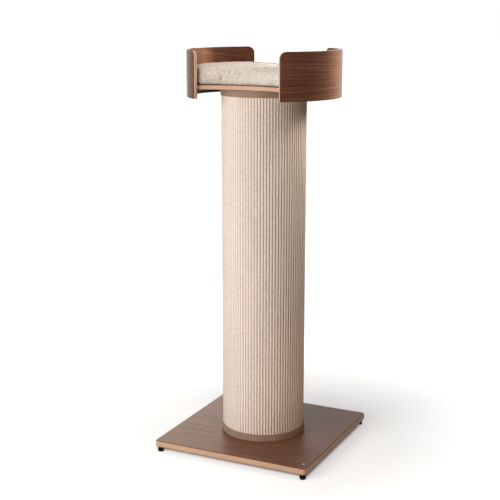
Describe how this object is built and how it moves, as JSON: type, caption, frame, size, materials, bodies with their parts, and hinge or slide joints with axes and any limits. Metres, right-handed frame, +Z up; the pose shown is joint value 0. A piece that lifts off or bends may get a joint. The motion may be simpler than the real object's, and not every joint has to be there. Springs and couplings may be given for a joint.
{
  "type": "cat scratching tower",
  "caption": "Tall cat scratching tower: a square walnut base on levelling feet, a thick ribbed sisal column and a round perch with bent wooden walls and a loose boucle cushion.",
  "frame": {"origin": "on the floor under the middle of the base", "axes": "+Z up the column; the perch's front opening faces -Y and its back opening +Y; +X is to the right as seen from the front"},
  "size_m": [0.5, 0.5, 1.209],
  "materials": {
    "walnut": "satin",
    "plywood": "satin",
    "sisal": "matte",
    "binding": "matte",
    "boucle": "matte",
    "foam": "matte",
    "paperboard": "matte",
    "foot_plastic": "matte",
    "black_steel": "satin",
    "bright_steel": "satin",
    "insert_brass": "satin"
  },
  "bodies": {
    "tower": {"base_plate": "walnut", "foot_inserts": "insert_brass", "top_screw": "bright_steel", "base_bolts": "bright_steel", "base_washers": "bright_steel", "bottom_disc": "plywood", "bottom_disc_inserts": "insert_brass", "bottom_tube_screws": "bright_steel", "column_tube": "paperboard", "sisal_sleeve": "sisal", "binding_bottom": "binding", "binding_top": "binding", "top_disc": "plywood", "top_disc_inserts": "insert_brass", "top_tube_screws": "bright_steel", "platform": "plywood", "platform_bolts": "bright_steel", "wall_left": "walnut", "wall_right": "walnut", "brackets_left": "black_steel", "brackets_right": "black_steel", "wall_screws_left": "bright_steel", "wall_screws_right": "bright_steel", "platform_screws_left": "bright_steel", "platform_screws_right": "bright_steel"},
    "pad_front_left": {"foot_pad_front_left": "foot_plastic"},
    "pad_front_right": {"foot_pad_front_right": "foot_plastic"},
    "pad_back_left": {"foot_pad_back_left": "foot_plastic"},
    "pad_back_right": {"foot_pad_back_right": "foot_plastic"},
    "stud_front_left": {"foot_stud_front_left": "black_steel"},
    "stud_front_right": {"foot_stud_front_right": "black_steel"},
    "stud_back_left": {"foot_stud_back_left": "black_steel"},
    "stud_back_right": {"foot_stud_back_right": "black_steel"},
    "cushion": {"cushion_cover": "boucle", "cushion_foam": "foam"}
  },
  "joints": [
    {"name": "foot_travel_front_left", "type": "slide", "parent": "tower", "child": "pad_front_left", "axis": [0, 0, -1], "range_m": [0, 0.006]},
    {"name": "foot_travel_front_right", "type": "slide", "parent": "tower", "child": "pad_front_right", "axis": [0, 0, -1], "range_m": [0, 0.006]},
    {"name": "foot_travel_back_left", "type": "slide", "parent": "tower", "child": "pad_back_left", "axis": [0, 0, -1], "range_m": [0, 0.006]},
    {"name": "foot_travel_back_right", "type": "slide", "parent": "tower", "child": "pad_back_right", "axis": [0, 0, -1], "range_m": [0, 0.006]},
    {"name": "foot_turn_front_left", "type": "hinge", "parent": "pad_front_left", "child": "stud_front_left", "pos_m": [-0.2358, -0.2358, 0.0136], "axis": [0, 0, -1], "range_deg": [0, 2160]},
    {"name": "foot_turn_front_right", "type": "hinge", "parent": "pad_front_right", "child": "stud_front_right", "pos_m": [0.2358, -0.2358, 0.0136], "axis": [0, 0, -1], "range_deg": [0, 2160]},
    {"name": "foot_turn_back_left", "type": "hinge", "parent": "pad_back_left", "child": "stud_back_left", "pos_m": [-0.2358, 0.2358, 0.0136], "axis": [0, 0, -1], "range_deg": [0, 2160]},
    {"name": "foot_turn_back_right", "type": "hinge", "parent": "pad_back_right", "child": "stud_back_right", "pos_m": [0.2358, 0.2358, 0.0136], "axis": [0, 0, -1], "range_deg": [0, 2160]},
    {"name": "cushion_lift", "type": "slide", "parent": "tower", "child": "cushion", "axis": [0, 0, 1], "range_m": [0, 0.15]}
  ],
  "couplings": [
    {"joint": "foot_travel_front_left", "follows": "foot_turn_front_left", "m_per_rad": 0.00015915},
    {"joint": "foot_travel_front_right", "follows": "foot_turn_front_right", "m_per_rad": 0.00015915},
    {"joint": "foot_travel_back_left", "follows": "foot_turn_back_left", "m_per_rad": 0.00015915},
    {"joint": "foot_travel_back_right", "follows": "foot_turn_back_right", "m_per_rad": 0.00015915}
  ]
}
